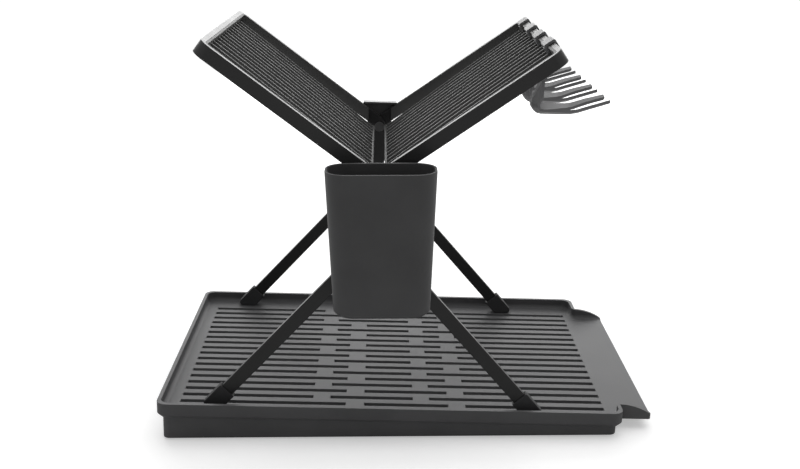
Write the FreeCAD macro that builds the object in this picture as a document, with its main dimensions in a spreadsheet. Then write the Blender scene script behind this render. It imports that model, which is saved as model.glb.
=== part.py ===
import FreeCAD, Part
import math
import os

"""Foldable dish rack: an X-shaped folding rack that stands in a drip tray.

Two equal frames cross at a hinge. Each has a finned panel on one side and two legs on the
other. A cutlery cup hangs in front of the hinge and four glass holders clip on the right
panel's end. Millimetres, +Z up, origin in the middle of the footprint on the table.
"""

Vector = FreeCAD.Vector
Rotation = FreeCAD.Rotation
Placement = FreeCAD.Placement

UP = Vector(0, 0, 1)
DEPTH = Vector(0, 1, 0)
NO_TURN = Rotation()

SIZES = {
    # How the rack stands in its tray
    "drain_slope": 1.75,
    "floor_height": 24.2,
    "rack_left_of_tray": 18.4,
    "rack_behind_tray": 0.8,
    "foot_gap": 0.4,
    # Flat bars of the two frames
    "bar_width": 14.0,
    "bar_thickness": 5.5,
    "frame_depth": 306.0,
    "frame_shift": 3.2,
    "panel_slope": 35.76,
    "panel_length": 210.5,
    "panel_crossing": 254.5,
    "leg_slope": 48.0,
    "leg_reach": 177.1,
    "leg_stop": 17.0,
    "elbow_radius": 13.0,
    "bow_radius": 12.0,
    # Hinge
    "pivot_height": 241.0,
    "pin_radius": 3.0,
    "pin_clearance": 0.05,
    "pin_gap": 0.1,
    "rivet_radius": 6.0,
    "rivet_thickness": 2.0,
    "washer_radius": 8.0,
    "washer_thickness": 0.7,
    "peg_radius": 4.0,
    "peg_length": 3.1,
    "peg_head_radius": 8.0,
    "peg_head_thickness": 1.5,
    "stop_thickness": 2.0,
    "stop_gap": 0.3,
    "stop_half_width": 20.4,
    "stop_lip_height": 2.2,
    "stop_lip_level": 269.3,
    "stop_neck": 15.0,
    "stop_drop": 46.0,
    "stop_round": 8.0,
    # Moulded grid of a panel
    "grid_flange": 2.5,
    "flange_start": 17.0,
    "fin_count": 16,
    "fin_thickness": 3.0,
    "fin_top_outer": 6.5,
    "fin_top_middle": 8.6,
    "fin_top_inner": 12.4,
    "fin_heel": 28.0,
    "rail_front": -2.1,
    "rail_back": 1.2,
    "rail_top": 12.0,
    "rail_bottom": 18.4,
    "rail_round": 1.6,
    "rail_length": 274.0,
    # Foot caps
    "cap_width": 18.8,
    "cap_thickness": 9.5,
    "cap_length": 31.5,
    "cap_toe_round": 4.0,
    "cap_heel_round": 5.0,
    "cap_fit": 0.05,
    # Cutlery cup
    "cup_width": 106.0,
    "cup_depth": 52.0,
    "cup_height": 144.0,
    "cup_lean": 6.0,
    "cup_top_level": 266.0,
    "cup_centre": 2.45,
    "cup_back": 161.5,
    "cup_corner": 21.0,
    "cup_bottom_edge": 3.5,
    "cup_wall": 2.4,
    "hook_thickness": 2.1,
    "hook_half_width": 12.5,
    "hook_front": 156.8,
    "hook_slot": 9.0,
    "hook_play": 0.2,
    "hook_above_pin": 15.0,
    "hook_rib": 2.3,
    "drain_half_length": 22.0,
    "drain_pitch": 10.0,
    "drain_width": 4.0,
    # Glass holders
    "holder_count": 4,
    "holder_first_gap": -5,
    "holder_gap_step": 4,
    "clip_depth": 24.5,
    "clip_fit": 0.3,
    "clip_leg": 2.2,
    "clip_top": 2.8,
    "clip_outer_drop": 9.0,
    "clip_round": 2.0,
    "strap_width": 42.8,
    "strap_bow": 5.0,
    "strap_thickness": 3.0,
    "strap_step": 26.0,
    "stem_width": 12.0,
    "stem_drop": 16.5,
    "stem_bend": 5.0,
    "shoulder_top": 338.5,
    "shoulder_low": 320.0,
    "shelf_start": 145.5,
    "shelf_end": 196.0,
    "shelf_level": 304.0,
    "shelf_bend": 11.0,
    "tip_out": 232.5,
    "tip_level": 316.0,
    "tip_bend": 24.0,
    "fork_start": 163.0,
    "fork_middle": 192.0,
    "fork_end": 228.0,
    "fork_round": 3.5,
    "prong_outer_end": 18.0,
    "prong_inner_middle": 10.0,
    "prong_inner_end": 12.0,
    # Drip tray
    "tray_width": 480.0,
    "tray_depth": 340.0,
    "tray_corner": 11.0,
    "rim_height": 11.4,
    "rim_width": 4.0,
    "band_height": 16.5,
    "band_edge": 4.0,
    "inner_corner": 9.5,
    "mouth_round": 7.0,
    "cove_radius": 5.0,
    "skirt_inset": 5.5,
    "skirt_wall": 2.6,
    "spout_reach": 33.5,
    "spout_front": 143.0,
    "spout_rear": 131.0,
    "spout_root": 20.0,
    "spout_corner": 3.0,
    "lip_edge": 1.6,
    "groove_pitch": 16.0,
    "groove_rows": 18,
    "groove_width": 7.0,
    "groove_depth": 3.5,
    "groove_draft": 14.0,
    "groove_left": -220.5,
    "groove_right": 226.0,
    "cheek_middle": 19.0,
    "cheek_drop": 3.6,
    "under_rib": 2.0,
    "under_rib_height": 9.0,
    "long_rib_pitch": 80.0,
    "cross_rib_pitch": 120.0,
    "boss_side": 18.0,
    "foot_side": 13.0,
    "foot_thickness": 1.5,
    "foot_x": 205.0,
    "foot_y": 142.0,
}

doc = FreeCAD.newDocument("DishRack")
sheet = doc.addObject("Spreadsheet::Sheet", "Sizes")
for row, (alias, value) in enumerate(SIZES.items(), start=1):
    sheet.set(f"A{row}", alias)
    sheet.set(f"B{row}", str(value))
    sheet.setAlias(f"B{row}", alias)
doc.recompute()

parts = []


# Helpers

def size(alias):
    """A driving dimension, read back from the sheet."""
    return float(getattr(sheet, alias))


def bind(item, **cells):
    """Bind properties of a feature to expressions over the sheet."""
    for name, formula in cells.items():
        words = formula.replace("(", " ( ").replace(")", " ) ").split()
        item.setExpression(name, " ".join(f"Sizes.{w}" if w in SIZES else w for w in words))


def new_body(label, piece=True):
    """A body for one moulded, turned or bent piece, or for a tool that cuts one."""
    body = doc.addObject("PartDesign::Body", label)
    body.Label = label
    if piece:
        parts.append(body)
    return body


def origin_item(body, role):
    """One of the body's own origin planes or axes."""
    return next(item for item in body.Origin.OriginFeatures if item.Role == role)


def sketch(body, name, plane, geometry, level=0.0):
    """A sketch of ready-made edges on one of the body's origin planes, lifted by level."""
    made = body.newObject("Sketcher::SketchObject", name)
    made.AttachmentSupport = [(origin_item(body, plane), "")]
    made.MapMode = "FlatFace"
    made.AttachmentOffset = Placement(Vector(0, 0, level), NO_TURN)
    made.addGeometry(geometry)
    return made


def extrude(body, kind, profile, length, side="One side", inward=False):
    """Pad or pocket a sketch by a formula over the sheet."""
    made = body.newObject(f"PartDesign::{kind}", f"{kind}_{profile.Name}")
    made.Profile = profile
    made.SideType = side
    made.Reversed = inward
    bind(made, Length=length)
    doc.recompute()
    return made


def repeat(body, feature, axis, count, span):
    """Repeat a feature along one of the body's axes, over a span from first to last."""
    made = body.newObject("PartDesign::LinearPattern", f"Rows_{feature.Name}")
    made.Originals = [feature]
    made.Direction = (origin_item(body, axis), [""])
    made.Mode = "Extent"
    made.Length = span
    made.Occurrences = count
    body.Tip = made
    doc.recompute()
    return made


def dress(body, kind, wanted, radius):
    """Round or chamfer the edges that the test picks on the body's last shape."""
    base = body.Tip
    names = [f"Edge{i}" for i, edge in enumerate(base.Shape.Edges, start=1) if wanted(edge)]
    made = body.newObject(f"PartDesign::{kind}", f"{kind}_{base.Name}")
    made.Base = (base, names)
    bind(made, **{"Radius" if kind == "Fillet" else "Size": radius})
    doc.recompute()
    return made


def flat(x, y):
    """A point of a sketch."""
    return Vector(x, y, 0)


def rounded(points, radii):
    """A closed outline with each corner rounded by its own radius."""
    count = len(points)
    starts, ends, arcs = [], [], []
    for i, corner in enumerate(points):
        back = (points[i - 1] - corner).normalize()
        ahead = (points[(i + 1) % count] - corner).normalize()
        half = back.getAngle(ahead) / 2
        run = radii[i] / math.tan(half)
        starts.append(corner + back * run)
        ends.append(corner + ahead * run)
        middle = (back + ahead).normalize()
        arcs.append(corner + middle * (radii[i] / math.sin(half) - radii[i]))
    edges = []
    for i in range(count):
        if radii[i] > 0:
            edges.append(Part.Arc(starts[i], arcs[i], ends[i]))
        edges.append(Part.LineSegment(ends[i], starts[(i + 1) % count]))
    return edges


def box_outline(x_low, y_low, x_high, y_high, radius):
    """A rounded rectangle."""
    corners = [flat(x_low, y_low), flat(x_high, y_low), flat(x_high, y_high), flat(x_low, y_high)]
    return rounded(corners, [radius] * 4)


def bent_line(points, radius_at):
    """Straight runs joined by tangent arcs, as a list of (start, middle or None, end)."""
    pieces = []
    start = points[0]
    for i in range(1, len(points) - 1):
        corner = points[i]
        back = (points[i - 1] - corner).normalize()
        ahead = (points[i + 1] - corner).normalize()
        half = back.getAngle(ahead) / 2
        run = radius_at[i - 1] / math.tan(half)
        middle = (back + ahead).normalize()
        into, out_of = corner + back * run, corner + ahead * run
        pieces.append((start, None, into))
        pieces.append((into, corner + middle * (radius_at[i - 1] / math.sin(half) - radius_at[i - 1]),
                       out_of))
        start = out_of
    pieces.append((start, None, points[-1]))
    return pieces


def edges_of(pieces):
    """Line and arc geometry of a bent line."""
    return [Part.LineSegment(a, b) if m is None else Part.Arc(a, m, b) for a, m, b in pieces]


def chords_of(pieces, turn):
    """Points of a bent line, its arcs taken in straight steps of about one turn in degrees."""
    points = [pieces[0][0]]
    for start, middle, end in pieces:
        if middle is None:
            points.append(end)
            continue
        arc = Part.Arc(start, middle, end)
        steps = math.ceil(math.degrees(arc.LastParameter - arc.FirstParameter) / turn)
        points += arc.discretize(steps + 1)[1:]
    return points


def strip_outline(points, width, radius):
    """The outline of a flat strip of one width along a bent centre line."""
    sides = []
    for side in (1, -1):
        shifted = []
        for i, point in enumerate(points):
            ways = []
            if i > 0:
                ways.append((point - points[i - 1]).normalize())
            if i < len(points) - 1:
                ways.append((points[i + 1] - point).normalize())
            along = ways[0] if len(ways) == 1 else (ways[0] + ways[1]).normalize()
            reach = width / 2 / along.dot(ways[0])
            shifted.append(point + flat(-along.y, along.x) * reach * side)
        radii = []
        for i in range(1, len(points) - 1):
            way_in, way_out = points[i] - points[i - 1], points[i + 1] - points[i]
            turn = 1 if way_in.cross(way_out).z > 0 else -1
            radii.append(radius - side * turn * width / 2)
        sides.append(bent_line(shifted, radii))
    left, right = sides
    outline = edges_of(left) + edges_of(right)
    outline.append(Part.LineSegment(left[0][0], right[0][0]))
    outline.append(Part.LineSegment(left[-1][2], right[-1][2]))
    return outline


def on_faces(axis, levels):
    """A test for edges that lie wholly in one of the planes axis = level."""
    def wanted(edge):
        box = edge.BoundBox
        low, high = getattr(box, axis + "Min"), getattr(box, axis + "Max")
        return any(abs(low - level) < 0.01 and abs(high - level) < 0.01 for level in levels)
    return wanted


# Places: the tray's floor slopes to its spout, and the rack stands on that floor

slope_turn = Rotation(DEPTH, size("drain_slope"))
tray_place = Placement(Vector(0, 0, size("floor_height")), slope_turn)
tray_place = tray_place.multiply(Placement(Vector(size("rack_left_of_tray"), 0, 0), NO_TURN))
rack_place = Placement(Vector(0, size("rack_behind_tray"), size("floor_height") + size("foot_gap")),
                       slope_turn)
half_turn = Placement(Vector(), Rotation(UP, 180))


def frame_place(side):
    """The left frame, or its equal turned round to the right, one bar further back."""
    shift = Placement(Vector(0, -size("frame_shift"), 0), NO_TURN)
    place = rack_place if side == "left" else rack_place.multiply(half_turn)
    return place.multiply(shift)


def panel_place(side):
    """A panel's own axes: X up its slope from the crossing, Z out of its upper face."""
    rise = Placement(Vector(0, 0, size("panel_crossing")), Rotation(DEPTH, size("panel_slope")))
    return frame_place(side).multiply(rise).multiply(half_turn)


# Flat bars: down the panel, round the hinge and out to the other side's foot

slope = math.radians(size("panel_slope"))
steep = math.radians(size("leg_slope"))
half_bar = size("bar_width") / 2
leg_way = flat(math.cos(steep), -math.sin(steep))
leg_side = flat(math.sin(steep), math.cos(steep))
leg_ground = flat(size("leg_reach"), 0) - leg_side * half_bar
leg_end = leg_ground - leg_way * size("leg_stop")
bend_top = flat(0, size("panel_crossing") - half_bar / math.cos(slope))
bend_low = flat(0, leg_ground.y + leg_ground.x * math.tan(steep))
bar_start = bend_top + flat(-math.cos(slope), math.sin(slope)) * (
    size("panel_length") - size("bow_radius") + half_bar * math.tan(slope))


def bar_place(side, end):
    """Where a frame's front or rear bar stands; the right frame is turned round."""
    inset = (size("frame_depth") - size("bar_thickness")) / 2
    low = (end == "front") == (side == "left")
    return frame_place(side).multiply(Placement(Vector(0, -inset if low else inset, 0), NO_TURN))


def make_bar(side, end):
    """One flat bar of a frame with its hinge hole."""
    body = new_body(f"{side}_panel_{end}_bar")
    line = [bar_start, bend_top, bend_low, leg_end]
    outline = strip_outline(line, size("bar_width"), size("elbow_radius"))
    extrude(body, "Pad", sketch(body, "Strip", "XZ_Plane", outline), "bar_thickness", "Symmetric")
    hole = Part.Circle(flat(0, size("pivot_height")), UP, size("pin_radius") + size("pin_clearance"))
    extrude(body, "Pocket", sketch(body, "HingeHole", "XZ_Plane", [hole]), "bar_width", "Symmetric")
    body.Placement = bar_place(side, end)


# End bow: joins the bars round the panel's outer end

def make_bow(side):
    """The bow of flat bar at a panel's outer end."""
    body = new_body(f"{side}_panel_end_bow")
    reach, width, radius = size("panel_length"), size("frame_depth") / 2, size("bow_radius")
    wall = size("bar_thickness")
    line = [flat(reach - radius, -width + wall / 2), flat(reach - wall / 2, -width + wall / 2),
            flat(reach - wall / 2, width - wall / 2), flat(reach - radius, width - wall / 2)]
    outline = strip_outline(line, wall, radius - wall / 2 - 0.01)
    extrude(body, "Pad", sketch(body, "Bow", "XY_Plane", outline), "bar_width", inward=True)
    body.Placement = panel_place(side)


# Moulded grid: a flange inside the bars, sixteen fins down the slope, a rail at the hinge

def fin_outline():
    """Side view of one fin, from the end flange to the rail."""
    end = size("panel_length") - size("bar_thickness") - size("grid_flange") / 2
    root, bottom = size("rail_back"), -size("bar_width")
    start = flat(end, -size("fin_top_outer"))
    bend = flat(root, -size("fin_top_inner"))
    middle = flat((end + root) / 2, -size("fin_top_middle"))
    toe = flat(root, -size("rail_bottom"))
    heel = flat(root + size("fin_heel"), bottom)
    return [Part.LineSegment(flat(end, bottom), start), Part.Arc(start, middle, bend),
            Part.LineSegment(bend, toe), Part.LineSegment(toe, heel),
            Part.LineSegment(heel, flat(end, bottom))]


def fin_pitch():
    """Distance between fins, so that all the gaps in a panel are equal."""
    inside = size("frame_depth") - 2 * (size("bar_thickness") + size("grid_flange"))
    return inside / (size("fin_count") + 1)


def make_grid(side):
    """The one-piece moulded grid that fills a panel."""
    body = new_body(f"{side}_panel_grid")
    wall, bar, deep = size("grid_flange"), size("bar_thickness"), size("bar_width")
    start, end = size("flange_start"), size("panel_length") - bar
    width, corner = size("frame_depth") / 2 - bar, size("bow_radius") - bar
    toe = start - deep * math.tan(slope)
    line = [flat(toe, -width + wall / 2), flat(end - wall / 2, -width + wall / 2),
            flat(end - wall / 2, width - wall / 2), flat(toe, width - wall / 2)]
    outline = strip_outline(line, wall, corner - wall / 2)
    extrude(body, "Pad", sketch(body, "Flange", "XY_Plane", outline), "bar_width", inward=True)
    upright = rounded([flat(toe, 1), flat(toe, -deep), flat(start, 0), flat(start, 1)], [0] * 4)
    extrude(body, "Pocket", sketch(body, "UprightEnds", "XZ_Plane", upright), "frame_depth", "Symmetric")

    pitch = fin_pitch()
    first = pitch * (size("fin_count") - 1) / 2
    profile = sketch(body, "Fin", "XZ_Plane", fin_outline(), -first)
    fin = extrude(body, "Pad", profile, "fin_thickness", "Symmetric")
    repeat(body, fin, "Y_Axis", int(size("fin_count")), 2 * first).Reversed = True

    front, back, nose = size("rail_front"), size("rail_back"), size("rail_round")
    top, bottom = -size("rail_top"), -size("rail_bottom")
    rail = rounded([flat(front, bottom), flat(back, bottom), flat(back, top), flat(front, top)],
                   [nose, 0, 0, nose])
    extrude(body, "Pad", sketch(body, "Rail", "XZ_Plane", rail), "rail_length", "Symmetric")
    body.Placement = panel_place(side)


# Foot cap: a soft sleeve over a leg's end, cut level at the bottom

def make_foot_cap(side, end):
    """A sleeve on the end of one leg."""
    body = new_body(f"{side}_panel_{end}_foot")
    half = size("cap_width") / 2
    rise = size("cap_length")

    def at_ground(offset):
        """Where a line along the leg, offset to its side, meets the floor."""
        point = leg_ground + leg_side * offset
        return flat(point.x + point.y / math.tan(steep), 0)

    top = leg_ground - leg_way * rise
    corners = [top + leg_side * half, at_ground(half), at_ground(-half), top - leg_side * half]
    outline = rounded(corners, [0, size("cap_toe_round"), size("cap_heel_round"), 0])
    extrude(body, "Pad", sketch(body, "Cap", "XZ_Plane", outline), "cap_thickness", "Symmetric")
    half_hole = half_bar + size("cap_fit")
    deep = leg_end + leg_way * size("cap_fit")
    above = top - leg_way * 10
    socket = rounded([deep + leg_side * half_hole, deep - leg_side * half_hole,
                      above - leg_side * half_hole, above + leg_side * half_hole], [0] * 4)
    extrude(body, "Pocket", sketch(body, "Socket", "XZ_Plane", socket),
            "bar_thickness + 2 * cap_fit", "Symmetric")
    body.Placement = bar_place(side, end)


# Hinge: riveted pins, washers between the bars and the stop plate behind them

half_depth = size("frame_depth") / 2
outer_face = half_depth + size("frame_shift")
inner_face = half_depth - size("frame_shift") - size("bar_thickness")
pivot_place = rack_place.multiply(Placement(Vector(0, 0, size("pivot_height")), NO_TURN))


def make_pin(label, steps):
    """A turned pin on the hinge axis, from (radius, near end, far end) steps."""
    body = new_body(label)
    low, high = steps[0][1], steps[-1][2]
    points = [flat(0, low)]
    for radius, start, stop in steps:
        points += [flat(radius, start), flat(radius, stop)]
    points.append(flat(0, high))
    profile = sketch(body, "Profile", "XY_Plane", rounded(points, [0] * len(points)))
    turned = body.newObject("PartDesign::Revolution", "Turned")
    turned.Profile = profile
    turned.ReferenceAxis = (origin_item(body, "Y_Axis"), [""])
    turned.Angle = 360
    doc.recompute()
    body.Placement = pivot_place


def make_hinge():
    """Pins, washers and stop plate: the fixed core that both frames turn on."""
    gap, pin, rivet = size("pin_gap"), size("pin_radius"), size("rivet_radius")
    thick = size("rivet_thickness")
    inside, outside = inner_face - gap, outer_face + gap
    neck_end = outside + size("peg_length")
    make_pin("hinge_pin_front", [
        (size("peg_head_radius"), -neck_end - size("peg_head_thickness"), -neck_end),
        (size("peg_radius"), -neck_end, -outside),
        (pin, -outside, -inside), (rivet, -inside, -inside + thick)])
    plate_face = outside + size("stop_gap") + size("stop_thickness") + gap
    make_pin("hinge_pin_rear", [
        (rivet, inside - thick, inside), (pin, inside, plate_face),
        (rivet, plate_face, plate_face + thick)])

    middle = half_depth - size("bar_thickness") / 2
    for end, place in (("front", -middle), ("rear", middle)):
        disc = doc.addObject("Part::Cylinder", f"WasherDisc_{end}")
        bind(disc, Radius="washer_radius", Height="washer_thickness")
        bore = doc.addObject("Part::Cylinder", f"WasherBore_{end}")
        bind(bore, Radius="pin_radius + pin_clearance", Height="washer_thickness")
        washer = doc.addObject("Part::Cut", f"washer_{end}")
        washer.Base, washer.Tool = disc, bore
        washer.Label = f"washer_{end}"
        offset = Vector(0, place + size("washer_thickness") / 2, 0)
        washer.Placement = pivot_place.multiply(Placement(offset, Rotation(Vector(1, 0, 0), 90)))
        parts.append(washer)


def make_stop_plate():
    """The plate behind the crossing, whose lip stops both panels when the rack is open."""
    body = new_body("stop_plate")
    wide, neck = size("stop_half_width"), size("stop_neck")
    level, pivot = size("stop_lip_level"), size("pivot_height")
    top, low, bend = level + size("stop_lip_height"), pivot - size("stop_drop"), size("stop_round")
    outline = rounded([flat(-wide, top), flat(-wide, level), flat(-neck, pivot + neck / 2),
                       flat(-neck, low), flat(neck, low), flat(neck, pivot + neck / 2),
                       flat(wide, level), flat(wide, top)], [0, 0, 0, bend, bend, 0, 0, 0])
    back = outer_face + size("pin_gap") + size("stop_gap")
    far = back + size("stop_thickness")
    extrude(body, "Pad", sketch(body, "Plate", "XZ_Plane", outline, -far), "stop_thickness")
    edge = box_outline(-wide, level, wide, top, 0)
    extrude(body, "Pad", sketch(body, "Lip", "XZ_Plane", edge, -far),
            f"stop_thickness + {back - inner_face}")
    hole = Part.Circle(flat(0, pivot), UP, size("pin_radius") + size("pin_clearance"))
    extrude(body, "Pocket", sketch(body, "Bore", "XZ_Plane", [hole], -far), "stop_thickness * 2",
            "Symmetric")
    body.Placement = rack_place


# Cutlery cup: a tapering rounded box that hangs plumb on the front pin

plumb_place = Placement(pivot_place.Base - Vector(0, 0, size("pivot_height")), NO_TURN)


def tapered_block(label, inset):
    """A box with an upright back and three leaning walls, its upright edges rounded."""
    body = new_body(label, piece=False)
    block = body.newObject("PartDesign::AdditiveWedge", f"{label}Box")
    block.AttachmentSupport = [(origin_item(body, "XZ_Plane"), "")]
    block.MapMode = "FlatFace"
    bind(block, Ymin=f"cup_top_level - cup_height + {inset}", Ymax="cup_top_level",
         Xmin=f"cup_centre - cup_width / 2 + cup_lean + {inset}",
         Xmax=f"cup_centre + cup_width / 2 - cup_lean - {inset}",
         Zmin=f"cup_back + {inset}", Zmax=f"cup_back + cup_depth - cup_lean - {inset}",
         X2min=f"cup_centre - cup_width / 2 + {inset}", X2max=f"cup_centre + cup_width / 2 - {inset}",
         Z2min=f"cup_back + {inset}", Z2max=f"cup_back + cup_depth - {inset}")
    doc.recompute()
    low = size("cup_height") / 2
    dress(body, "Fillet", lambda edge: edge.BoundBox.ZLength > low, f"cup_corner - {inset}")
    return body


def make_cup():
    """The moulded cup: a rounded block hollowed by a smaller one, with slots in its floor."""
    bottom = size("cup_top_level") - size("cup_height")
    outside, inside = tapered_block("CupOutside", "0"), tapered_block("CupInside", "cup_wall")
    dress(outside, "Chamfer", on_faces("Z", (bottom,)), "cup_bottom_edge")
    drains, half_long, middle = [], size("drain_half_length"), size("cup_centre")
    floor_middle = -size("cup_back") - (size("cup_depth") - size("cup_lean")) / 2
    for row in (-1, 0, 1):
        low = floor_middle + row * size("drain_pitch") - size("drain_width") / 2
        drains += box_outline(middle - half_long, low, middle + half_long, low + size("drain_width"), 0)
    extrude(inside, "Pad", sketch(inside, "Drains", "XY_Plane", drains, bottom - size("cup_wall")),
            "cup_wall * 3")
    cup = doc.addObject("Part::Cut", "cutlery_cup")
    cup.Base, cup.Tool = outside, inside
    cup.Label = "cutlery_cup"
    doc.recompute()
    cup.Placement = plumb_place
    parts.append(cup)


def make_cup_hook():
    """The slotted plate on the cup's back that drops over the front pin's neck."""
    body = new_body("cup_hook_plate")
    wide, pivot, slot = size("hook_half_width"), size("pivot_height"), size("hook_slot") / 2
    low, high = pivot - slot * 2, pivot + size("hook_above_pin")
    centre = pivot - size("hook_play")
    outline = [Part.LineSegment(flat(-wide, low), flat(-slot, low)),
               Part.LineSegment(flat(-slot, low), flat(-slot, centre)),
               Part.Arc(flat(-slot, centre), flat(0, centre + slot), flat(slot, centre)),
               Part.LineSegment(flat(slot, centre), flat(slot, low)),
               Part.LineSegment(flat(slot, low), flat(wide, low)),
               Part.LineSegment(flat(wide, low), flat(wide, high)),
               Part.LineSegment(flat(wide, high), flat(-wide, high)),
               Part.LineSegment(flat(-wide, high), flat(-wide, low))]
    front = size("hook_front")
    extrude(body, "Pad", sketch(body, "Plate", "XZ_Plane", outline, front), "hook_thickness")
    inner, under = wide - size("hook_rib"), high - size("hook_rib")
    arch = rounded([flat(-wide, low), flat(-inner, low), flat(-inner, under), flat(inner, under),
                    flat(inner, low), flat(wide, low), flat(wide, high), flat(-wide, high)], [0] * 8)
    extrude(body, "Pad", sketch(body, "Ribs", "XZ_Plane", arch, front), "cup_back - hook_front")
    body.Placement = plumb_place


# Glass holders: a clip over the end bow, a stem between two fins and a bowed fork

def make_holder(number):
    """One glass holder, swept along its J and cut to its plan outline."""
    cosine, sine = math.cos(slope), math.sin(slope)
    crossing = size("panel_crossing")

    def on_panel(out, up):
        """A point beside the panel as x and z: out along its slope, up from its upper face."""
        return Vector(out * cosine - up * sine, 0, crossing + out * sine + up * cosine)

    fit, leg, top = size("clip_fit"), size("clip_leg"), size("clip_top")
    outer = size("panel_length")
    inner = outer - size("bar_thickness") - size("grid_flange")
    drop, tine_top = size("clip_outer_drop"), size("fin_top_outer") - fit
    clip_points = [(outer + fit, -drop), (outer + fit + leg, -drop), (outer + fit + leg, fit + top),
                   (inner - fit - leg, fit + top), (inner - fit - leg, -tine_top),
                   (inner - fit, -tine_top), (inner - fit, fit), (outer + fit, fit)]
    bend = size("clip_round")
    clip_edges = rounded([flat(*point) for point in clip_points], [0, 0, bend, bend, 0, 0, 0, 0])
    turn = Placement(Vector(0, 0, crossing), Rotation(DEPTH, -size("panel_slope"))).multiply(
        Placement(Vector(0, size("clip_depth") / 2, 0), Rotation(Vector(1, 0, 0), 90)))
    clip = Part.Face(Part.Wire([edge.toShape() for edge in clip_edges]))
    clip = clip.extrude(Vector(0, 0, size("clip_depth")))
    clip.Placement = turn

    half, bow, wall = size("strap_width") / 2, size("strap_bow"), size("strap_thickness")
    stem_out = inner - fit - wall - 2 * size("cap_fit") - fit
    shelf = size("shelf_level")
    path = [on_panel(stem_out, -1), on_panel(stem_out, -size("stem_drop")),
            Vector(size("shelf_start"), 0, shelf), Vector(size("shelf_end"), 0, shelf),
            Vector(size("tip_out"), 0, size("tip_level"))]
    bends = [size("stem_bend"), size("shelf_bend"), size("tip_bend")]
    route = Part.makePolygon(chords_of(bent_line(path, bends), size("strap_step")))
    arc_radius = (half ** 2 + bow ** 2) / (2 * bow)
    spread = math.asin(half / arc_radius)
    inward = Vector(cosine, 0, sine)

    def section_point(radius, angle):
        """A point of the bowed section, across the strap and inwards from its outer face."""
        return path[0] + DEPTH * radius * math.sin(angle) + inward * (arc_radius - radius * math.cos(angle))

    angles = [-spread, -spread / 3, spread / 3, spread]
    points = [section_point(arc_radius, angle) for angle in angles]
    points += [section_point(arc_radius - wall, angle) for angle in reversed(angles)]
    strap = route.makePipeShell([Part.makePolygon(points + points[:1])], True, False, 1)

    stem, full = size("stem_width") / 2, half + 1
    high, low = size("shoulder_top"), size("shoulder_low")
    above, below = size("panel_length") * 2, shelf - full
    shoulders = rounded([flat(-stem, above), flat(-stem, high), flat(-full, low), flat(-full, below),
                         flat(full, below), flat(full, low), flat(stem, high), flat(stem, above)],
                        [0] * 8)
    front_mask = Part.Face(Part.Wire([edge.toShape() for edge in shoulders]))
    front_mask = front_mask.extrude(Vector(0, 0, outer))
    front_mask.Placement = Placement(Vector(outer / 2, 0, 0), Rotation(DEPTH, UP, Vector(1, 0, 0), "ZXY"))

    plan = [Part.LineSegment(flat(inner / 2, full), flat(inner / 2, -full))]
    start, middle, end = size("fork_start"), size("fork_middle"), size("fork_end")
    wide_end = size("prong_outer_end")
    thin_mid, thin_end = size("prong_inner_middle"), size("prong_inner_end")
    for side in (-1, 1):
        tip = flat(end + size("fork_round"), side * (wide_end + thin_end) / 2)
        plan += [Part.LineSegment(flat(inner / 2, side * full), flat(middle, side * full)),
                 Part.LineSegment(flat(middle, side * full), flat(end, side * wide_end)),
                 Part.Arc(flat(end, side * wide_end), tip, flat(end, side * thin_end)),
                 Part.Arc(flat(end, side * thin_end), flat(middle, side * thin_mid), flat(start, 0))]
    ordered = Part.__sortEdges__([edge.toShape() for edge in plan])
    plan_mask = Part.Face(Part.Wire(ordered)).extrude(Vector(0, 0, outer))
    plan_mask.translate(Vector(0, 0, below))

    holder = doc.addObject("Part::Feature", f"glass_holder_{number}")
    holder.Label = f"glass_holder_{number}"
    holder.Shape = strap.common(front_mask).common(plan_mask).fuse(clip).removeSplitter()
    gap = size("holder_first_gap") + size("holder_gap_step") * (number - 1)
    place = size("frame_shift") + gap * fin_pitch()
    holder.Placement = rack_place.multiply(Placement(Vector(0, place, 0), NO_TURN))
    parts.append(holder)


# Drip tray: a rimmed tray with broken grooves, a spout side and a level skirt

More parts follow.
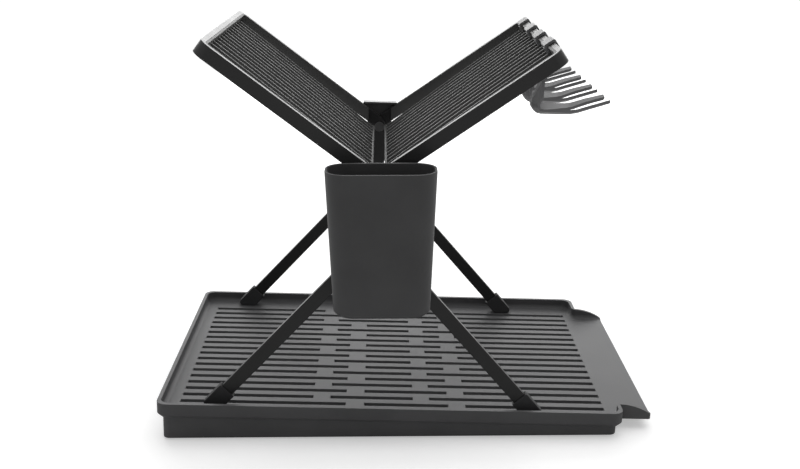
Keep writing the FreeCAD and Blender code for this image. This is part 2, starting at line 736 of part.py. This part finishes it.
def make_tray():
    """The one-piece tray, in its own floor's axes."""
    body = new_body("drip_tray")
    wide, deep, corner = size("tray_width") / 2, size("tray_depth") / 2, size("tray_corner")
    rim, wall = size("rim_height"), size("rim_width")
    front, rear, reach = size("spout_front"), size("spout_rear"), wide + size("spout_reach")
    extrude(body, "Pad", sketch(body, "Band", "XY_Plane", box_outline(-wide, -deep, wide, deep, corner),
                                rim), "band_height", inward=True)
    base = rim - size("band_height")
    dress(body, "Chamfer", on_faces("Z", (base,)), "band_edge")
    root, bend = wide - size("spout_root"), size("spout_corner")
    lip = rounded([flat(root, -front - wall), flat(reach, -front - wall), flat(reach, rear + wall),
                   flat(root, rear + wall)], [0, bend, bend, 0])
    extrude(body, "Pad", sketch(body, "Spout", "XY_Plane", lip, rim), "band_height", inward=True)
    turn, mouth = size("inner_corner"), size("mouth_round")
    inner = rounded([flat(-wide + wall, -deep + wall), flat(wide - wall, -deep + wall),
                     flat(wide - wall, -front), flat(reach + 10, -front), flat(reach + 10, rear),
                     flat(wide - wall, rear), flat(wide - wall, deep - wall),
                     flat(-wide + wall, deep - wall)],
                    [turn, turn, mouth, 0, 0, mouth, turn, turn])
    extrude(body, "Pocket", sketch(body, "Inside", "XY_Plane", inner, rim), "rim_height")
    dress(body, "Fillet", lambda edge: on_faces("Z", (0,))(edge) and edge.BoundBox.XMin < reach - 5,
          "cove_radius")

    root, past, over = wide - wall, reach + 2, rim * 2
    crest = flat(wide + size("cheek_middle"), rim - size("cheek_drop"))
    cheek = [Part.Arc(flat(root, rim), crest, flat(past, -1)),
             Part.LineSegment(flat(past, -1), flat(past, over)),
             Part.LineSegment(flat(past, over), flat(root, over)),
             Part.LineSegment(flat(root, over), flat(root, rim))]
    extrude(body, "Pocket", sketch(body, "Cheeks", "XZ_Plane", cheek), "tray_depth", "Symmetric")
    dress(body, "Chamfer", lambda edge: edge.BoundBox.XMin > reach - 0.5 and edge.BoundBox.YLength > rear
          and edge.BoundBox.ZMax > -1.5 and edge.BoundBox.ZMin > base + 1, "lip_edge")

    inset, thin = size("skirt_inset"), size("skirt_wall")
    ring = box_outline(-wide + inset, -deep + inset, wide - inset, deep - inset, corner - inset + 2)
    far_in = inset + thin
    ring += box_outline(-wide + far_in, -deep + far_in, wide - far_in, deep - far_in, corner - far_in + 2)
    extrude(body, "Pad", sketch(body, "Skirt", "XY_Plane", ring, base), "floor_height + 10", inward=True)
    rib = size("under_rib") / 2
    for name, along_x in (("LongRibs", True), ("CrossRibs", False)):
        strips = []
        for step in (-1, 0, 1):
            if along_x:
                middle, half_long = step * size("long_rib_pitch"), wide - far_in + 1
                strips += box_outline(-half_long, middle - rib, half_long, middle + rib, 0)
            else:
                middle, half_long = step * size("cross_rib_pitch"), deep - far_in + 1
                strips += box_outline(middle - rib, -half_long, middle + rib, half_long, 0)
        extrude(body, "Pad", sketch(body, name, "XY_Plane", strips, base), "under_rib_height", inward=True)
    bosses, side = [], size("boss_side") / 2
    for x, y in foot_spots():
        bosses += box_outline(x - side, y - side, x + side, y + side, 0)
    extrude(body, "Pad", sketch(body, "Bosses", "XY_Plane", bosses, base), "floor_height + 10", inward=True)

    tilt = math.radians(size("drain_slope"))

    def level(x):
        """Height of the skirt's level bottom in the sloping tray's own axes."""
        drop = size("foot_thickness") - size("floor_height")
        return (drop + (x + size("rack_left_of_tray")) * math.sin(tilt)) / math.cos(tilt)

    beyond = wide * 2
    below = [flat(-beyond, level(-beyond)), flat(beyond, level(beyond)), flat(beyond, -wide),
             flat(-beyond, -wide)]
    extrude(body, "Pocket", sketch(body, "Level", "XZ_Plane", rounded(below, [0] * 4)),
            "tray_depth + 20", "Symmetric")

    pitch, rows = size("groove_pitch"), int(size("groove_rows") / 2)
    last, half_groove = pitch * (size("groove_rows") - 1) / 2, size("groove_width") / 2
    for name, start, breaks in (("GroovesA", -last, ((-47, -28), (61, 79))),
                                ("GroovesB", -last + pitch, ((-82, -64), (24, 41)))):
        ends = [size("groove_left")] + [edge for gap in breaks for edge in gap] + [size("groove_right")]
        row = []
        for low, high in zip(ends[::2], ends[1::2]):
            row += box_outline(low, start - half_groove, high, start + half_groove, 0)
        cut = extrude(body, "Pocket", sketch(body, name, "XY_Plane", row), "groove_depth")
        cut.TaperAngle = -size("groove_draft")
        doc.recompute()
        repeat(body, cut, "Y_Axis", rows, 2 * pitch * (rows - 1))
    body.Placement = tray_place


def foot_spots():
    """Middles of the tray's four rubber feet, in plan."""
    return [(x * size("foot_x"), y * size("foot_y")) for y in (-1, 1) for x in (-1, 1)]


def make_tray_feet():
    """Rubber pads under the tray's four bosses, level on the table."""
    names = ("front_left", "front_right", "rear_left", "rear_right")
    half = size("foot_side") / 2
    for name, (x, y) in zip(names, foot_spots()):
        foot = doc.addObject("Part::Box", f"tray_foot_{name}")
        foot.Label = f"tray_foot_{name}"
        bind(foot, Length="foot_side", Width="foot_side", Height="foot_thickness")
        place = tray_place.multVec(Vector(x, y, -size("floor_height")))
        foot.Placement = Placement(Vector(place.x - half, place.y - half, 0), NO_TURN)
        parts.append(foot)


# The whole rack

make_tray()
make_tray_feet()
for panel in ("left", "right"):
    for bar_end in ("front", "rear"):
        make_bar(panel, bar_end)
        make_foot_cap(panel, bar_end)
    make_bow(panel)
    make_grid(panel)
make_hinge()
make_stop_plate()
make_cup()
make_cup_hook()
for holder_number in range(1, int(size("holder_count")) + 1):
    make_holder(holder_number)
doc.recompute()


def centre_on_footprint():
    """Move every sub-part so that the origin is under the middle of the whole."""
    whole = FreeCAD.BoundBox()
    for part in parts:
        whole.add(part.Shape.optimalBoundingBox(False))
    shift = Placement(Vector(-whole.Center.x, -whole.Center.y, 0), NO_TURN)
    for part in parts:
        part.Placement = shift.multiply(part.Placement)
    doc.recompute()
    print("footprint shift", [round(v, 3) for v in shift.Base], "size",
          [round(v, 2) for v in (whole.XLength, whole.YLength, whole.ZLength)])


def check_and_write():
    """Stop on any failed object or bad solid, then write one file per sub-part."""
    for item in doc.Objects:
        faults = [state for state in item.State if state in ("Invalid", "Error")]
        if faults:
            raise RuntimeError(f"{item.Label}: {faults}")
    os.makedirs("parts", exist_ok=True)
    for part in parts:
        shape = part.Shape
        if shape.isNull() or not shape.isValid() or len(shape.Solids) != 1:
            raise RuntimeError(f"{part.Label}: bad shape, {len(shape.Solids)} solids")
        shape.exportStep(f"parts/{part.Label}.step")
        print(f"{part.Label}: {shape.Volume / 1000:.1f} cm3, {len(shape.Faces)} faces")


centre_on_footprint()
check_and_write()
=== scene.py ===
"""Looks of the foldable dish rack: finishes, softened edges, light and camera.

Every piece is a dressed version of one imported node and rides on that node's body.
Lengths are in metres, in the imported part's own axes.
"""

import logging
import math
from dataclasses import dataclass, field
from enum import Enum

import bmesh
import bpy
from mathutils import Euler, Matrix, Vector


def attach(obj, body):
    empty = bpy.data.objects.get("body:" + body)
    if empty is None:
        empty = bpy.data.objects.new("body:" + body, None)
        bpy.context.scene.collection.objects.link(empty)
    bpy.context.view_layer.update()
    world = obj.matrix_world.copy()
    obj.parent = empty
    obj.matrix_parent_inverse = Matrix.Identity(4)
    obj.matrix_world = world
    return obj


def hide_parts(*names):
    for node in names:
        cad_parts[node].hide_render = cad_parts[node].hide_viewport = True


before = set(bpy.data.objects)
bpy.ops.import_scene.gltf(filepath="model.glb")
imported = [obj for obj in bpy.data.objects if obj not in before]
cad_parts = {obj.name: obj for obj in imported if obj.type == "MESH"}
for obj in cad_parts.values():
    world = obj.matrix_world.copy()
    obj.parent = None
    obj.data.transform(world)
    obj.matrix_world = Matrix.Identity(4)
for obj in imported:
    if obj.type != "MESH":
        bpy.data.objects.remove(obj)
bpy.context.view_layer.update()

log = logging.getLogger("dish_rack")
MM = 0.001
CLOUD_SCALE = 22.0
CLOUD_DETAIL = 4.0
CLOUD_BAND = (0.3, 0.7)
GRAIN_DETAIL = 2.0
GRAIN_SHADE = 0.12
FLAT_ANGLE = math.radians(0.3)
SEAM_ANGLE = math.radians(0.5)


class Body(Enum):
    """The moving bodies that pieces ride on."""

    TRAY = "tray"
    HINGE = "hinge_core"
    LEFT = "left_frame"
    RIGHT = "right_frame"
    CUP = "cup"


class Slot(Enum):
    """Material slots of the record."""

    TRAY = "tray_plastic"
    CUP = "cup_plastic"
    GRID = "grid_plastic"
    HOLDER = "holder_plastic"
    BAR = "bar_paint"
    HINGE = "hinge_metal"
    WASHER = "washer_nylon"
    CAP = "foot_rubber"
    TRAY_FOOT = "rubber_black"


@dataclass(frozen=True)
class Finish:
    """A moulded, painted or rubber surface with fine grain and slow colour drift.

    Args:
        name: name of the material.
        colour: base colour, linear.
        roughness: mean roughness.
        specular: specular level of the shader.
        drift: share by which the colour wanders over some centimetres.
        grain: size of the surface grain in metres.
        grain_depth: height of the grain in metres.
        gloss_drift: change of roughness over the drift.
    """

    name: str
    colour: tuple[float, float, float]
    roughness: float
    specular: float = 0.5
    drift: float = 0.10
    grain: float = 0.0007
    grain_depth: float = 0.00003
    gloss_drift: float = 0.06

    def make(self) -> bpy.types.Material:
        """Build the node material.

        Returns:
            The new material.
        """
        material = bpy.data.materials.new(self.name)
        material.use_nodes = True
        nodes, links = material.node_tree.nodes, material.node_tree.links
        shader = nodes["Principled BSDF"]
        shader.inputs["Specular IOR Level"].default_value = self.specular
        place = nodes.new("ShaderNodeTexCoord")

        cloud = nodes.new("ShaderNodeTexNoise")
        cloud.inputs["Scale"].default_value = CLOUD_SCALE
        cloud.inputs["Detail"].default_value = CLOUD_DETAIL
        links.new(place.outputs["Object"], cloud.inputs["Vector"])
        tone = nodes.new("ShaderNodeValToRGB")
        ends = zip(tone.color_ramp.elements, CLOUD_BAND, (1 - self.drift, 1 + self.drift))
        for end, position, share in ends:
            end.position = position
            end.color = (*(c * share for c in self.colour), 1)
        links.new(cloud.outputs["Fac"], tone.inputs["Fac"])

        speckle = nodes.new("ShaderNodeTexNoise")
        speckle.inputs["Scale"].default_value = 1 / self.grain
        speckle.inputs["Detail"].default_value = GRAIN_DETAIL
        links.new(place.outputs["Object"], speckle.inputs["Vector"])
        mottle = nodes.new("ShaderNodeMix")
        mottle.data_type = "RGBA"
        mottle.blend_type = "MULTIPLY"
        mottle.inputs["Factor"].default_value = GRAIN_SHADE
        links.new(tone.outputs["Color"], mottle.inputs["A"])
        links.new(speckle.outputs["Fac"], mottle.inputs["B"])
        links.new(mottle.outputs["Result"], shader.inputs["Base Color"])

        sheen = nodes.new("ShaderNodeMapRange")
        sheen.inputs["To Min"].default_value = self.roughness - self.gloss_drift
        sheen.inputs["To Max"].default_value = self.roughness + self.gloss_drift
        links.new(cloud.outputs["Fac"], sheen.inputs["Value"])
        links.new(sheen.outputs["Result"], shader.inputs["Roughness"])

        bump = nodes.new("ShaderNodeBump")
        bump.inputs["Strength"].default_value = 1.0
        bump.inputs["Distance"].default_value = self.grain_depth
        links.new(speckle.outputs["Fac"], bump.inputs["Height"])
        links.new(bump.outputs["Normal"], shader.inputs["Normal"])
        return material


TRAY_FINISH = Finish("tray_moulding", (0.073, 0.073, 0.075), 0.58, 0.27)
CUP_FINISH = Finish("cup_moulding", (0.053, 0.053, 0.054), 0.55, 0.27, grain_depth=0.00002)
GRID_FINISH = Finish("grid_moulding", (0.048, 0.048, 0.047), 0.56, 0.40,
                     grain_depth=0.000005)
HOLDER_FINISH = Finish("holder_moulding", (0.13, 0.13, 0.133), 0.5, 0.4)
BAR_FINISH = Finish("bar_powder_coat", (0.012, 0.012, 0.012), 0.36, 0.3, grain=0.0005,
                    grain_depth=0.00001)
HINGE_FINISH = Finish("rivet_black", (0.045, 0.045, 0.045), 0.35, 0.5, grain=0.0004,
                      grain_depth=0.00001)
# The stop plate shares the bar paint but is painted lighter: painted light that lifts the hinge
# zone, which lies in shade.
STOP_LIGHTENED_PAINT = Finish("stop_plate_lightened_paint", (0.060, 0.060, 0.060), 0.4, 0.4, grain=0.0005,
                     grain_depth=0.00001)
WASHER_FINISH = Finish("washer_nylon", (0.02, 0.02, 0.02), 0.6, 0.3)
CAP_FINISH = Finish("cap_rubber", (0.028, 0.028, 0.029), 0.7, 0.25, grain_depth=0.00005)
FOOT_FINISH = Finish("foot_rubber", (0.02, 0.02, 0.02), 0.8, 0.3)


@dataclass
class Softener:
    """Makes a clean, soft-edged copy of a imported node.

    Args:
        width: width of the edge rounding.
        segments: facets across the rounding.
        angle: least angle between faces that counts as an edge.
        merge: distance within which corners are the same.
    """

    width: float = 0.4 * MM
    segments: int = 2
    angle: float = math.radians(28)
    merge: float = 0.002 * MM

    def copy(self, node: str, name: str) -> bpy.types.Object:
        """Merge the node's triangles, dissolve the flat ones and round the edges.

        Args:
            node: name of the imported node.
            name: name of the new piece.

        Returns:
            The new object, at the origin, with its place in its mesh.
        """
        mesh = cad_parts[node].data.copy()
        mesh.name = name
        work = bmesh.new()
        work.from_mesh(mesh)
        bmesh.ops.remove_doubles(work, verts=work.verts, dist=self.merge)
        bmesh.ops.dissolve_limit(work, angle_limit=FLAT_ANGLE, verts=work.verts, edges=work.edges)
        work.to_mesh(mesh)
        work.free()
        mesh.materials.clear()
        piece = bpy.data.objects.new(name, mesh)
        bpy.context.scene.collection.objects.link(piece)
        self.finish(piece)
        return piece

    def finish(self, piece: bpy.types.Object) -> None:
        """Shade a piece smooth between its edges and round those edges.

        Args:
            piece: the piece to finish.
        """
        piece.data.shade_smooth()
        piece.data.set_sharp_from_angle(angle=self.angle)
        if self.width > 0:
            rounding = piece.modifiers.new("edge_rounding", "BEVEL")
            rounding.width = self.width
            rounding.segments = self.segments
            rounding.limit_method = "ANGLE"
            rounding.angle_limit = self.angle
            rounding.use_clamp_overlap = True
            rounding.harden_normals = False
            flats = piece.modifiers.new("flat_normals", "WEIGHTED_NORMAL")
            flats.keep_sharp = True


def dress(piece: bpy.types.Object, finish: bpy.types.Material, slot: Slot, body: str,
          *nodes: str) -> None:
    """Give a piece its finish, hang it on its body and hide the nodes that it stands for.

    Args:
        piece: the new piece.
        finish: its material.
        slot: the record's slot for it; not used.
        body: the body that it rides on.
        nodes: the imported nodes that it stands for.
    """
    piece.data.materials.append(finish)
    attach(piece, body)
    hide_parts(*nodes)
    log.info("%s rides on %s", piece.name, body)


@dataclass
class DripTray:
    """The tray and its rubber feet."""

    edges: Softener = field(default_factory=lambda: Softener(0.6 * MM, 2))
    pad_edges: Softener = field(default_factory=lambda: Softener(0.3 * MM, 2))

    def build(self) -> None:
        """Make the tray and the feet."""
        tray = self.edges.copy("drip_tray", "tray_moulding")
        dress(tray, TRAY_FINISH.make(), Slot.TRAY, Body.TRAY.value, "drip_tray")
        rubber = FOOT_FINISH.make()
        for place in ("front_left", "front_right", "rear_left", "rear_right"):
            foot = self.pad_edges.copy(f"tray_foot_{place}", f"tray_pad_{place}")
            dress(foot, rubber, Slot.TRAY_FOOT, Body.TRAY.value, f"tray_foot_{place}")


def loop_of(name: str, parts: list[bpy.types.Object], seam: float = 0.05 * MM) -> bpy.types.Object:
    """Join pieces that meet face to face into one skin.

    Args:
        name: name of the joined piece.
        parts: the pieces, which are used up.
        seam: distance within which their corners are the same.

    Returns:
        The joined object.
    """
    work = bmesh.new()
    for part in parts:
        work.from_mesh(part.data)
        bpy.data.objects.remove(part)
    bmesh.ops.remove_doubles(work, verts=work.verts, dist=seam)
    inner = [face for face in work.faces if all(len(edge.link_faces) > 2 for edge in face.edges)]
    bmesh.ops.delete(work, geom=inner, context="FACES_ONLY")
    bmesh.ops.dissolve_limit(work, angle_limit=SEAM_ANGLE, verts=work.verts, edges=work.edges)
    mesh = bpy.data.meshes.new(name)
    work.to_mesh(mesh)
    work.free()
    joined = bpy.data.objects.new(name, mesh)
    bpy.context.scene.collection.objects.link(joined)
    return joined


@dataclass
class PanelFrame:
    """One folding frame: two bars, a bow, a grid and two foot caps."""

    side: str
    bar: bpy.types.Material
    grid: bpy.types.Material
    cap: bpy.types.Material
    edges: Softener = field(default_factory=lambda: Softener(0.45 * MM, 2))
    cap_edges: Softener = field(default_factory=lambda: Softener(0.8 * MM, 3))
    grid_edges: Softener = field(default_factory=lambda: Softener(0.5 * MM, 2))

    def build(self) -> None:
        """Make the frame's loop of bar, its grid and its two caps."""
        body = Body[self.side.upper()].value
        nodes = [f"{self.side}_panel_{part}" for part in ("front_bar", "end_bow", "rear_bar")]
        plain = Softener(0.0)
        copies = [plain.copy(node, f"{node}_copy") for node in nodes]
        loop = loop_of(f"{self.side}_bar_loop", copies)
        self.edges.finish(loop)
        dress(loop, self.bar, Slot.BAR, body, *nodes)
        for end in ("front", "rear"):
            node = f"{self.side}_panel_{end}_foot"
            cap = self.cap_edges.copy(node, f"{self.side}_{end}_foot_cap")
            dress(cap, self.cap, Slot.CAP, body, node)
        node = f"{self.side}_panel_grid"
        grid = self.grid_edges.copy(node, f"{self.side}_grid_moulding")
        dress(grid, self.grid, Slot.GRID, body, node)


@dataclass
class HingeCore:
    """Pins, washers and the stop plate."""

    edges: Softener = field(default_factory=lambda: Softener(0.5 * MM, 3))

    def build(self) -> None:
        """Make the fixed core of the hinge."""
        metal, nylon, lightened_paint = HINGE_FINISH.make(), WASHER_FINISH.make(), STOP_LIGHTENED_PAINT.make()
        for end in ("front", "rear"):
            pin, washer = f"hinge_pin_{end}", f"washer_{end}"
            rivet = self.edges.copy(pin, f"rivet_{end}")
            dress(rivet, metal, Slot.HINGE, Body.HINGE.value, pin)
            spacer = self.edges.copy(washer, f"spacer_{end}")
            dress(spacer, nylon, Slot.WASHER, Body.HINGE.value, washer)
        # Its colour is the bar paint lightened: painted light for the shaded hinge zone.
        plate = self.edges.copy("stop_plate", "stop_plate_painted")
        dress(plate, lightened_paint, Slot.BAR, Body.HINGE.value, "stop_plate")


@dataclass
class CutleryCup:
    """The cup and its hook plate."""

    edges: Softener = field(default_factory=lambda: Softener(0.8 * MM, 3))

    def build(self) -> None:
        """Make the cup and the plate."""
        plastic = CUP_FINISH.make()
        for node, name in (("cutlery_cup", "cup_moulding"), ("cup_hook_plate", "cup_hook")):
            dress(self.edges.copy(node, name), plastic, Slot.CUP, Body.CUP.value, node)


@dataclass
class GlassHolders:
    """The four clip-on glass holders."""

    count: int = 4
    edges: Softener = field(default_factory=lambda: Softener(0.7 * MM, 3, merge=0.06 * MM))

    def build(self) -> None:
        """Make the holders."""
        plastic = HOLDER_FINISH.make()
        for number in range(1, self.count + 1):
            node = f"glass_holder_{number}"
            fork = self.edges.copy(node, f"stemware_fork_{number}")
            dress(fork, plastic, Slot.HOLDER, node, node)


@dataclass
class Studio:
    """Floor, light and camera."""

    camera_place: tuple[float, float, float] = (-0.0230, -1.1568, 0.5256)
    pitch_down: float = 16.80
    yaw: float = 0.894
    focal_pixels: float = 1085.0
    image_width: float = 800.0
    sensor: float = 36.0
    floor_size: float = 40.0
    floor_grey: float = 0.8
    floor_glow: float = 0.40
    sky_energy: float = 1.5
    sky_spread: float = 70.0
    sky_direction: tuple[float, float, float] = (-0.10, -0.35, -1.0)
    surround: tuple[float, float] = (0.35, 1.0)

    def build(self) -> None:
        """Make the whole studio."""
        self.make_floor()
        self.make_lights()
        self.make_world()
        self.make_camera()
        view = bpy.context.scene.view_settings
        view.view_transform = "Standard"

    def make_floor(self) -> None:
        """A pale floor that is white to the camera and keeps the object's shadow."""
        work = bmesh.new()
        bmesh.ops.create_grid(work, x_segments=1, y_segments=1, size=self.floor_size / 2)
        mesh = bpy.data.meshes.new("studio_floor")
        work.to_mesh(mesh)
        work.free()
        floor = bpy.data.objects.new("studio_floor", mesh)
        bpy.context.scene.collection.objects.link(floor)
        paper = bpy.data.materials.new("studio_paper")
        paper.use_nodes = True
        nodes, links = paper.node_tree.nodes, paper.node_tree.links
        nodes.clear()
        diffuse = nodes.new("ShaderNodeBsdfDiffuse")
        diffuse.inputs["Color"].default_value = (*[self.floor_grey] * 3, 1)
        glow = nodes.new("ShaderNodeEmission")
        path = nodes.new("ShaderNodeLightPath")
        lift = nodes.new("ShaderNodeMath")
        lift.operation = "MULTIPLY"
        lift.inputs[1].default_value = self.floor_glow
        links.new(path.outputs["Is Camera Ray"], lift.inputs[0])
        links.new(lift.outputs[0], glow.inputs["Strength"])
        both = nodes.new("ShaderNodeAddShader")
        links.new(diffuse.outputs[0], both.inputs[0])
        links.new(glow.outputs[0], both.inputs[1])
        output = nodes.new("ShaderNodeOutputMaterial")
        links.new(both.outputs[0], output.inputs["Surface"])
        mesh.materials.append(paper)

    def make_lights(self) -> None:
        """An even soft light from above and a broad lamp low behind that edges the tops."""
        sky = bpy.data.lights.new("overhead", "SUN")
        sky.energy = self.sky_energy
        sky.angle = math.radians(self.sky_spread)
        lamp = bpy.data.objects.new("overhead", sky)
        bpy.context.scene.collection.objects.link(lamp)
        lamp.rotation_euler = Vector(self.sky_direction).to_track_quat("-Z", "Y").to_euler()
        self.make_lamp("rear_edge", (0.0, 2.2, 0.95), (0, 0, 0.25), (3.4, 1.5), 44.0)

    @staticmethod
    def make_lamp(name: str, place: tuple[float, float, float], target: tuple[float, float, float],
                  size: tuple[float, float], power: float) -> None:
        """One broad area lamp that the camera doesn't see.

        Args:
            name: name of the lamp.
            place: where it stands.
            target: the point that it faces.
            size: its width and height.
            power: power in watts.
        """
        data = bpy.data.lights.new(name, "AREA")
        data.shape = "RECTANGLE"
        data.size, data.size_y = size
        data.energy = power
        lamp = bpy.data.objects.new(name, data)
        bpy.context.scene.collection.objects.link(lamp)
        lamp.visible_camera = False
        lamp.location = place
        lamp.rotation_euler = (Vector(target) - Vector(place)).to_track_quat("-Z", "Y").to_euler()

    def make_world(self) -> None:
        """A soft grey surround that the camera and reflections see as white."""
        world = bpy.data.worlds.new("studio_surround")
        bpy.context.scene.world = world
        world.use_nodes = True
        nodes, links = world.node_tree.nodes, world.node_tree.links
        back = nodes["Background"]
        back.inputs["Color"].default_value = (1, 1, 1, 1)
        path = nodes.new("ShaderNodeLightPath")
        seen = nodes.new("ShaderNodeMath")
        seen.operation = "MAXIMUM"
        links.new(path.outputs["Is Camera Ray"], seen.inputs[0])
        links.new(path.outputs["Is Glossy Ray"], seen.inputs[1])
        clear = nodes.new("ShaderNodeMath")
        clear.operation = "MAXIMUM"
        links.new(seen.outputs[0], clear.inputs[0])
        links.new(path.outputs["Is Transmission Ray"], clear.inputs[1])
        level = nodes.new("ShaderNodeMapRange")
        level.inputs["To Min"].default_value = self.surround[0]
        level.inputs["To Max"].default_value = self.surround[1]
        links.new(clear.outputs[0], level.inputs["Value"])
        links.new(level.outputs["Result"], back.inputs["Strength"])

    def make_camera(self) -> None:
        """The camera at the photograph's viewing angle."""
        data = bpy.data.cameras.new("view")
        data.sensor_fit = "HORIZONTAL"
        data.sensor_width = self.sensor
        data.lens = self.focal_pixels / self.image_width * self.sensor
        data.clip_end = 60
        camera = bpy.data.objects.new("view", data)
        bpy.context.scene.collection.objects.link(camera)
        camera.location = self.camera_place
        camera.rotation_euler = Euler((math.radians(90 - self.pitch_down), 0,
                                       math.radians(-self.yaw)), "XYZ")
        bpy.context.scene.camera = camera


def main() -> None:
    """Build the studio, then every sub-assembly."""
    logging.basicConfig(level=logging.INFO, format="%(message)s")
    Studio().build()
    DripTray().build()
    bar, grid, cap = BAR_FINISH.make(), GRID_FINISH.make(), CAP_FINISH.make()
    for side in ("left", "right"):
        PanelFrame(side, bar, grid, cap).build()
    HingeCore().build()
    CutleryCup().build()
    GlassHolders().build()
    bpy.context.view_layer.update()


if __name__ == "__main__":
    main()
